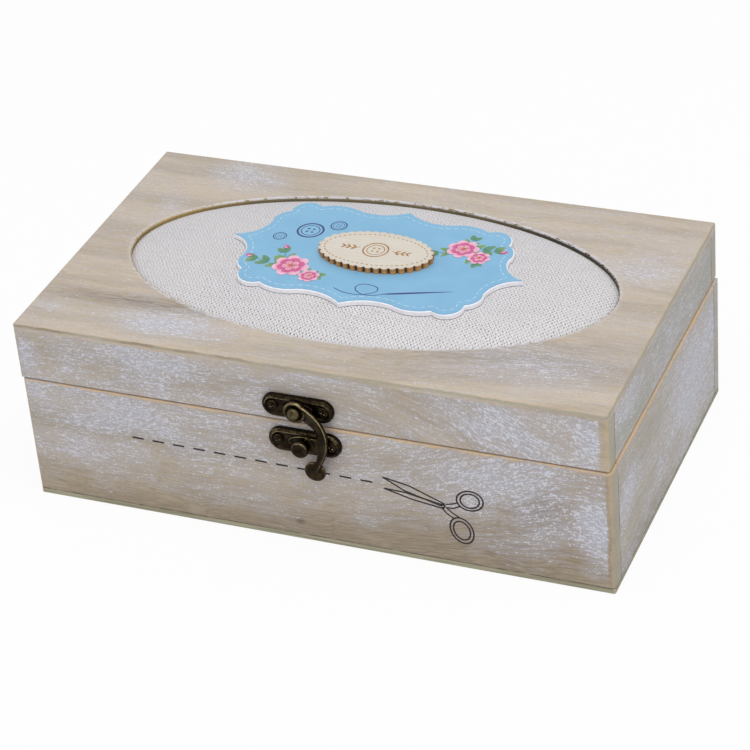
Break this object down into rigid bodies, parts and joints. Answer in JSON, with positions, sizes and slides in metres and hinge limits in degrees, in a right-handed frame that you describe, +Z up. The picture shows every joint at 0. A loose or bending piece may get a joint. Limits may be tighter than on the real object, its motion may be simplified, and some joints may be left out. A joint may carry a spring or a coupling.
{
  "type": "sewing box",
  "caption": "Whitewashed wooden sewing box with a hinged lid, a padded oval carrying a shaped plaque in the lid, inner dividers, and a swinging hook clasp.",
  "frame": {"origin": "centre of the underside of the base", "axes": "+X along the front from left to right, +Y towards the hinges at the back, +Z up"},
  "size_m": [0.2408, 0.1484, 0.0854],
  "materials": {
    "whitewashed_wood": "whitewashed and rubbed back",
    "bottom_ply": "thin ply, whitewashed edge",
    "divider_wood": "bare sanded wood",
    "backing_board": "bare fibreboard",
    "pad_canvas": "plain-weave canvas",
    "pad_wadding": "polyester wadding",
    "plaque_board": "white painted fibreboard",
    "plaque_print": "printed sheet, satin",
    "label_ply": "birch ply, laser-cut edge",
    "antique_brass": "antiqued, rubbed bright on edges",
    "hinge_brass": "antiqued",
    "hinge_screws": "antiqued"
  },
  "bodies": {
    "base": {"bottom_panel": "bottom_ply", "base_front_board": "whitewashed_wood", "base_back_board": "whitewashed_wood", "base_left_board": "whitewashed_wood", "base_right_board": "whitewashed_wood", "long_divider": "divider_wood", "cross_divider_1": "divider_wood", "cross_divider_2": "divider_wood", "keeper_plate": "antique_brass", "keeper_stud": "antique_brass", "keeper_screws": "antique_brass", "left_hinge_base_leaf": "hinge_brass", "left_hinge_pin": "hinge_brass", "left_hinge_base_screws": "hinge_screws", "right_hinge_base_leaf": "hinge_brass", "right_hinge_pin": "hinge_brass", "right_hinge_base_screws": "hinge_screws"},
    "lid": {"lid_top_board": "whitewashed_wood", "lid_front_rail": "whitewashed_wood", "lid_back_rail": "whitewashed_wood", "lid_left_rail": "whitewashed_wood", "lid_right_rail": "whitewashed_wood", "pad_fabric": "pad_canvas", "pad_wadding": "pad_wadding", "pad_backing_board": "backing_board", "plaque_board": "plaque_board", "plaque_face": "plaque_print", "oval_label": "label_ply", "latch_plate": "antique_brass", "latch_rivet": "antique_brass", "latch_screws": "antique_brass", "left_hinge_lid_leaf": "hinge_brass", "left_hinge_lid_screws": "hinge_screws", "right_hinge_lid_leaf": "hinge_brass", "right_hinge_lid_screws": "hinge_screws"},
    "latch_arm": {"latch_arm": "antique_brass"}
  },
  "joints": [
    {"name": "lid_hinge", "type": "hinge", "parent": "base", "child": "lid", "pos_m": [0, 0.0693, 0.055], "axis": [-1, 0, 0], "range_deg": [0, 100]},
    {"name": "arm_pivot", "type": "hinge", "parent": "lid", "child": "latch_arm", "pos_m": [-0.0019, -0.07458, 0.0628], "axis": [0, -1, 0], "range_deg": [0, 180]}
  ]
}
